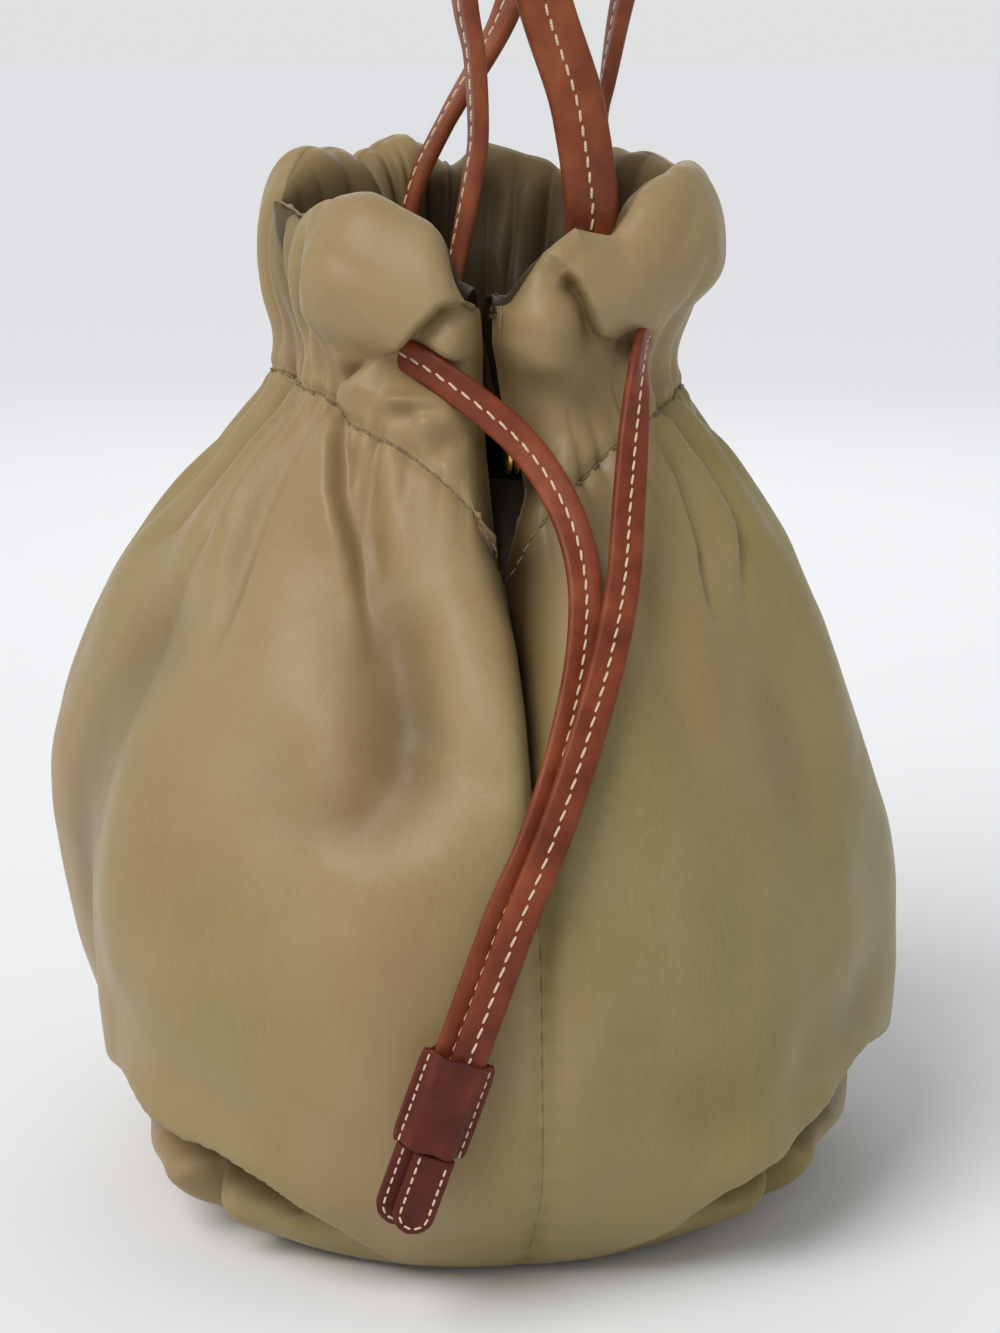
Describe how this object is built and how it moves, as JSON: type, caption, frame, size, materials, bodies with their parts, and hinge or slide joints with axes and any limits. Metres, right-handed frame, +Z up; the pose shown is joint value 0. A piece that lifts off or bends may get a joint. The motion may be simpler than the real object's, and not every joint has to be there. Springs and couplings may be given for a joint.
{
  "type": "bucket bag",
  "caption": "Soft nylon drawstring bucket bag with leather carrying handles, a leather drawstring with a sliding toggle, and press studs.",
  "frame": {"origin": "centre of the flat base, on the surface that the bag stands on", "axes": "+Z up, from the base to the handles; -Y towards the end that the drawstring hangs down; +X across the two main panels, to the right when that end is in front"},
  "size_m": [0.2392, 0.2608, 0.4701],
  "materials": {
    "nylon": "satin woven nylon, khaki with an olive sheen",
    "lining": "matt woven lining",
    "handle_leather": "smooth cognac leather with cream stitching",
    "drawstring_leather": "smooth cognac leather with cream stitching",
    "dark_leather": "smooth dark brown leather with cream stitching",
    "stud_brass": "polished gold-coloured brass"
  },
  "bodies": {
    "root": {"base_panel": "nylon", "left_panel": "nylon", "right_panel": "nylon", "left_collar": "nylon", "right_collar": "nylon", "base_lining": "lining", "left_lining": "lining", "right_lining": "lining", "left_facing": "nylon", "right_facing": "nylon", "drawstring_loop": "drawstring_leather", "drawstring_left_tail": "drawstring_leather", "drawstring_right_tail": "drawstring_leather", "left_end_tab": "dark_leather", "right_end_tab": "dark_leather", "left_handle_near_anchor": "handle_leather", "left_handle_far_anchor": "handle_leather", "right_handle_near_anchor": "handle_leather", "right_handle_far_anchor": "handle_leather", "near_stud_cap": "stud_brass", "near_stud_socket": "stud_brass", "far_stud_cap": "stud_brass", "far_stud_socket": "stud_brass"},
    "left_handle": {"left_handle": "handle_leather"},
    "right_handle": {"right_handle": "handle_leather"},
    "toggle": {"toggle_front": "dark_leather", "toggle_back": "dark_leather"}
  },
  "joints": [
    {"name": "left_handle_swing", "type": "hinge", "parent": "root", "child": "left_handle", "pos_m": [-0.0021, -0.038, 0.296], "axis": [0.012, -0.9999, 0], "range_deg": [0, 80]},
    {"name": "right_handle_swing", "type": "hinge", "parent": "root", "child": "right_handle", "pos_m": [0.0259, -0.035, 0.296], "axis": [0.2278, 0.9737, 0], "range_deg": [0, 80]},
    {"name": "toggle_slide", "type": "slide", "parent": "root", "child": "toggle", "axis": [0.3322, 0, 0.9432], "range_m": [0, 0.038]}
  ]
}
